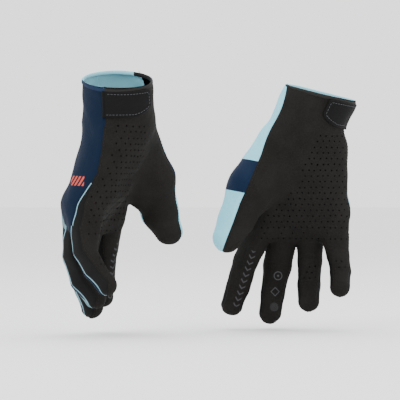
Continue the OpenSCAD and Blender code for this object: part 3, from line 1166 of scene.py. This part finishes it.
def strap_thread():
    heap = Heap()
    inset = 3.0
    a = np.arange(-74.2, 0.5, 1.0)
    runs = [(a, strap_high(a) - inset), (a, strap_low(a) + inset),
            (np.full(12, -74.2), np.linspace(float(strap_low(np.array(-74.2))) + inset, 34.6, 12))]
    for angles, level in runs:
        p, n = on_cuff(angles, level, strap_top(angles))
        part = stitches(p, n, 2.2, 0.9, 0.2)
        heap.add(part.verts, part.faces)
    return heap


def patch(low_off, high_off, inset):
    """A patch of hook or loop tape under the strap's free end."""
    return strap_grid(np.arange(-72, -35.5, 1.5), 14, inset, low_off, high_off)


def seam_thread(wanted, offset, toward):
    """Topstitching beside a seam, on the piece with the given panel code."""
    heap = Heap()
    for line in chains(seam_edges(triangles, codes, wanted)):
        if len(line) < 14:
            continue
        q = even_line(points[line])
        n = gradient(q)
        way = np.gradient(q, axis=0)
        way /= np.linalg.norm(way, axis=1)[:, None]
        aside = np.cross(n, way)
        test = piece_code(settle(q + aside * offset))
        if (test % 10 == toward).mean() < 0.5:
            aside = -aside
        p = settle(q + aside * offset)
        n = gradient(p)
        part = stitches(p + n * 0.1, n, 2.0, 1.1, 0.2)
        heap.add(part.verts, part.faces)
    return heap


def limb_thread(limb):
    return seam_thread(lambda a, b: a // 10 == limb and b // 10 == limb and a % 10 == FRONT, 1.8, FRONT)


palm_thread = seam_thread(lambda a, b: a < 10 and b < 10 and FRONT in (a, b), 2.0, FRONT)
limb_threads = {limb: limb_thread(limb) for limb in range(1, 6)}

for side in ("right", "left"):
    def on_body(body, name, verts, faces, materials, which=None):
        obj = add_piece(side, name, verts, faces, materials, which)
        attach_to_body(obj, f"{side}_{body}")
        return obj

    verts, faces, inside = cuff_hem()
    hem = on_body("hand", "folded_hem", verts, faces, [HEM_CLOTH, HEM_LINING], inside)
    tab = on_body("strap", "strap", *strap_tab(), [NEOPRENE])
    t = strap_thread()
    on_body("strap", "strap_stitching", t.verts, t.faces, [THREAD_GREY])
    hooks = patch(lambda q: strap_lift(q) - 0.85, lambda q: strap_lift(q) - 0.02, 3.8)
    hook = on_body("strap", "strap_hooks", *hooks, [HOOK_TAPE])
    loops = patch(lambda q: 0.0 * q - 0.2, lambda q: 0.0 * q + 0.8, 3.0)
    loop = on_body("hand", "cuff_loops", *loops, [LOOP_PILE])
    on_body("hand", "strap_binding", *strap_binding(), [NEOPRENE])
    on_body("hand", "palm_stitching", palm_thread.verts, palm_thread.faces, [THREAD_BLACK])
    for limb, t in limb_threads.items():
        if t.verts:
            obj = add_piece(side, f"{limb_name(limb)}_stitching", t.verts, t.faces, [THREAD_BLACK])
            attach(obj, side, limb)

    stands_for = [(panels[(side, HAND, FRONT)], "palm_panel"),
                  (panels[(side, HAND, BACK)], "back_panel"),
                  (panels[(side, HAND, SIDE)], "thumb_panel"),
                  (panels[(side, HAND, GUSSET)], "side_gusset", "finger_gussets"),
                  (panels[(side, THUMB_END, FRONT)], "thumb_front", "thumb_crease"),
                  (panels[(side, THUMB_END, SIDE)], "thumb_back"),
                  (hem, "cuff_hem"), (tab, "strap_tab"), (hook, "hook_patch"), (loop, "loop_patch")]
    for i, finger in enumerate(FINGERS):
        stands_for += [(panels[(side, i + 1, FRONT)], f"{finger}_front", f"{finger}_crease"),
                       (panels[(side, i + 1, BACK)], f"{finger}_back"),
                       (panels[(side, i + 1, GUSSET)], f"{finger}_gusset")]
    for piece, *nodes in stands_for:
        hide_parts(*(f"{side}_{node}" for node in nodes))


# ---- studio ----
FLOOR_HEIGHT = -0.245
FLOOR_REACH = 40
AIM = (0.09, 0.06, -0.11)
# Name, place, size in metres and power in watts
LIGHTS = [("key", (-1.2, -1.8, 1.6), 1.2, 30),
          ("fill", (1.6, -1.6, 0.5), 1.4, 8),
          ("top", (0.2, 0.4, 2.0), 1.6, 24)]
CAMERA_PLACE = (0.0783, -2.275, -0.1137)


def studio():
    """A pale floor, even light, and a camera level with the gloves."""
    world = bpy.data.worlds.new("studio")
    world.use_nodes = True
    sky = world.node_tree.nodes["Background"].inputs
    sky["Color"].default_value = (1, 1, 1, 1)
    sky["Strength"].default_value = 1.9
    bpy.context.scene.world = world

    square = ((-1, -1), (1, -1), (1, 1), (-1, 1))
    corners = [(x * FLOOR_REACH, y * FLOOR_REACH, FLOOR_HEIGHT) for x, y in square]
    mesh = bpy.data.meshes.new("floor")
    mesh.from_pydata(corners, [], [(0, 1, 2, 3)])
    m = bpy.data.materials.new("pale floor")
    m.use_nodes = True
    shader = m.node_tree.nodes["Principled BSDF"].inputs
    shader["Base Color"].default_value = (0.9, 0.9, 0.9, 1)
    shader["Roughness"].default_value = 0.9
    mesh.materials.append(m)
    put_in_scene("floor", mesh)

    for name, place, size, power in LIGHTS:
        light = bpy.data.lights.new(name, "AREA")
        light.size, light.energy = size, power
        lamp = put_in_scene(name, light)
        x, y, z = np.array(AIM) - np.array(place)
        lamp.location = place
        lamp.rotation_euler = (math.atan2(math.hypot(x, y), -z), 0, math.atan2(y, x) - math.pi / 2)

    lens = bpy.data.cameras.new("camera")
    lens.lens, lens.sensor_width = 216, 36
    camera = put_in_scene("camera", lens)
    camera.location = CAMERA_PLACE
    camera.rotation_euler = (math.radians(90), 0, 0)
    bpy.context.scene.camera = camera


studio()
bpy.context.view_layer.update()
